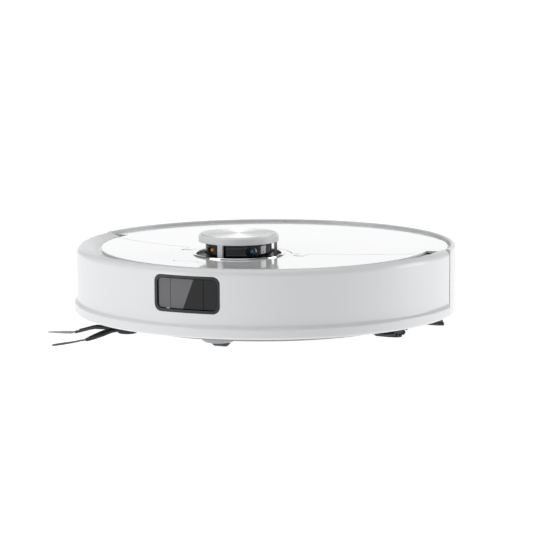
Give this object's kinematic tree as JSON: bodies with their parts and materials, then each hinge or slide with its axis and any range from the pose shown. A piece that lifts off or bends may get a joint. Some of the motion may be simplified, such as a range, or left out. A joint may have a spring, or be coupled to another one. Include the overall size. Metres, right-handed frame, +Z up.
{
  "type": "robot vacuum",
  "caption": "Round robot vacuum: white shell, sprung bumper with sensor window, laser turret, lift-up lid, dustbin, brushes, drive wheels, caster and a wiping pad.",
  "frame": {"origin": "on the floor under the middle of the body", "axes": "+X towards the front, where the sensor window is; +Y towards the robot's left; +Z up"},
  "size_m": [0.3505, 0.353, 0.0965],
  "materials": {
    "shell_white": "gloss",
    "base_grey": "satin",
    "inner_grey": "matte",
    "black_plastic": "satin",
    "gloss_black": "gloss",
    "window_tint": "polished",
    "steel": "brushed",
    "chrome_ring": "polished",
    "turned_aluminium": "spun",
    "rubber_black": "matte",
    "tyre_rubber": "treaded",
    "caster_grey": "satin",
    "brush_rubber": "satin",
    "bristle_grey": "fibres",
    "brush_orange": "satin",
    "bin_smoke": "gloss",
    "filter_paper": "pleated",
    "board_green": "satin",
    "battery_wrap": "satin",
    "contact_gold": "polished",
    "lens_glass": "gloss",
    "mop_pile": "pile"
  },
  "bodies": {
    "chassis": {"base_plate": "base_grey", "rear_shell": "shell_white", "front_inner_wall": "inner_grey", "front_deck": "shell_white", "inner_tray": "inner_grey", "lid_hinge_pins": "steel", "front_sensor": "black_plastic", "bumper_springs": "steel", "bumper_switches": "black_plastic", "collar_ring": "chrome_ring", "lidar_base": "black_plastic", "lidar_motor": "steel", "lidar_belt": "rubber_black", "button_board": "board_green", "main_board": "board_green", "battery": "battery_wrap", "battery_cover": "base_grey", "case_screws": "steel", "cliff_sensors": "gloss_black", "charging_contacts": "contact_gold", "speaker": "black_plastic", "pivot_pins": "steel", "suspension_springs": "steel", "caster_socket": "inner_grey", "side_brush_gearbox": "base_grey", "brush_housing": "base_grey", "brush_guard": "base_grey", "brush_gearbox": "inner_grey", "blower_housing": "black_plastic"},
    "bumper": {"bumper_shell": "shell_white", "window_bezel": "gloss_black", "window_glass": "window_tint"},
    "lid": {"lid": "shell_white"},
    "turret_cap": {"turret_cap": "shell_white", "turret_disc": "turned_aluminium"},
    "lidar_head": {"lidar_head": "gloss_black", "lidar_lenses": "lens_glass"},
    "motor_pulley": {"motor_pulley": "caster_grey"},
    "power_button": {"power_button": "shell_white"},
    "home_button": {"home_button": "shell_white"},
    "spot_button": {"spot_button": "shell_white"},
    "left_arm": {"drive_arm_left": "base_grey"},
    "right_arm": {"drive_arm_right": "base_grey"},
    "left_wheel": {"drive_hub_left": "inner_grey", "drive_tyre_left": "tyre_rubber"},
    "right_wheel": {"drive_hub_right": "inner_grey", "drive_tyre_right": "tyre_rubber"},
    "caster_fork": {"caster_fork": "caster_grey"},
    "caster_wheel": {"caster_wheel": "rubber_black"},
    "side_brush": {"side_brush_hub": "brush_rubber", "side_brush_bristles": "bristle_grey"},
    "main_brush": {"main_brush_core": "brush_orange", "main_brush_fins": "brush_rubber"},
    "dustbin": {"dustbin_tub": "bin_smoke", "dustbin_top": "base_grey", "filter": "filter_paper", "filter_frame": "black_plastic"},
    "impeller": {"impeller": "inner_grey"},
    "mop": {"mop_bracket": "base_grey", "mop_pad": "mop_pile"}
  },
  "joints": [
    {"name": "bumper_press", "type": "slide", "parent": "chassis", "child": "bumper", "axis": [-1, 0, 0], "range_m": [0, 0.0025], "stiffness_N_per_m": 1200, "springref_m": -0.002},
    {"name": "lid_hinge", "type": "hinge", "parent": "chassis", "child": "lid", "pos_m": [0.052, 0, 0.0736], "axis": [0, 1, 0], "range_deg": [0, 72]},
    {"name": "bin_lift", "type": "slide", "parent": "chassis", "child": "dustbin", "axis": [0, 0, 1], "range_m": [0, 0.06]},
    {"name": "turret_cap_press", "type": "slide", "parent": "chassis", "child": "turret_cap", "axis": [0, 0, -1], "range_m": [0, 0.0012], "stiffness_N_per_m": 1500, "springref_m": -0.0015},
    {"name": "lidar_spin", "type": "hinge", "parent": "chassis", "child": "lidar_head", "pos_m": [0.062, 0, 0.08], "axis": [0, 0, 1], "continuous": true},
    {"name": "lidar_motor_spin", "type": "hinge", "parent": "chassis", "child": "motor_pulley", "pos_m": [0.103, 0.0287, 0.068], "axis": [0, 0, 1], "continuous": true},
    {"name": "power_button_press", "type": "slide", "parent": "chassis", "child": "power_button", "axis": [0, 0, -1], "range_m": [0, 0.0007], "stiffness_N_per_m": 400, "springref_m": -0.0008},
    {"name": "home_button_press", "type": "slide", "parent": "chassis", "child": "home_button", "axis": [0, 0, -1], "range_m": [0, 0.0007], "stiffness_N_per_m": 400, "springref_m": -0.0008},
    {"name": "spot_button_press", "type": "slide", "parent": "chassis", "child": "spot_button", "axis": [0, 0, -1], "range_m": [0, 0.0007], "stiffness_N_per_m": 400, "springref_m": -0.0008},
    {"name": "left_suspension", "type": "hinge", "parent": "chassis", "child": "left_arm", "pos_m": [0.045, 0.1, 0.038], "axis": [0, -1, 0], "range_deg": [0, 30], "stiffness_Nm_per_rad": 0.3, "springref_deg": 29.79},
    {"name": "right_suspension", "type": "hinge", "parent": "chassis", "child": "right_arm", "pos_m": [0.045, -0.1, 0.038], "axis": [0, -1, 0], "range_deg": [0, 30], "stiffness_Nm_per_rad": 0.3, "springref_deg": 29.79},
    {"name": "left_wheel_spin", "type": "hinge", "parent": "left_arm", "child": "left_wheel", "pos_m": [0, 0.122, 0.035], "axis": [0, 1, 0], "continuous": true},
    {"name": "right_wheel_spin", "type": "hinge", "parent": "right_arm", "child": "right_wheel", "pos_m": [0, -0.122, 0.035], "axis": [0, 1, 0], "continuous": true},
    {"name": "caster_swivel", "type": "hinge", "parent": "chassis", "child": "caster_fork", "pos_m": [0.106, 0, 0.03], "axis": [0, 0, 1], "continuous": true},
    {"name": "caster_roll", "type": "hinge", "parent": "caster_fork", "child": "caster_wheel", "pos_m": [0.101, 0, 0.0125], "axis": [0, 1, 0], "continuous": true},
    {"name": "side_brush_spin", "type": "hinge", "parent": "chassis", "child": "side_brush", "pos_m": [0.103, -0.092, 0.01], "axis": [0, 0, 1], "continuous": true},
    {"name": "main_brush_spin", "type": "hinge", "parent": "chassis", "child": "main_brush", "pos_m": [-0.008, 0, 0.021], "axis": [0, 1, 0], "continuous": true},
    {"name": "blower_spin", "type": "hinge", "parent": "chassis", "child": "impeller", "pos_m": [-0.088, 0.092, 0.04], "axis": [0, 0, 1], "continuous": true},
    {"name": "mop_slide", "type": "slide", "parent": "chassis", "child": "mop", "axis": [-1, 0, 0], "range_m": [0, 0.12]}
  ],
  "couplings": [
    {"joint": "bin_lift", "follows": "lid_hinge", "m_per_rad": 0.0477},
    {"joint": "lidar_motor_spin", "follows": "lidar_spin", "ratio": 4}
  ]
}
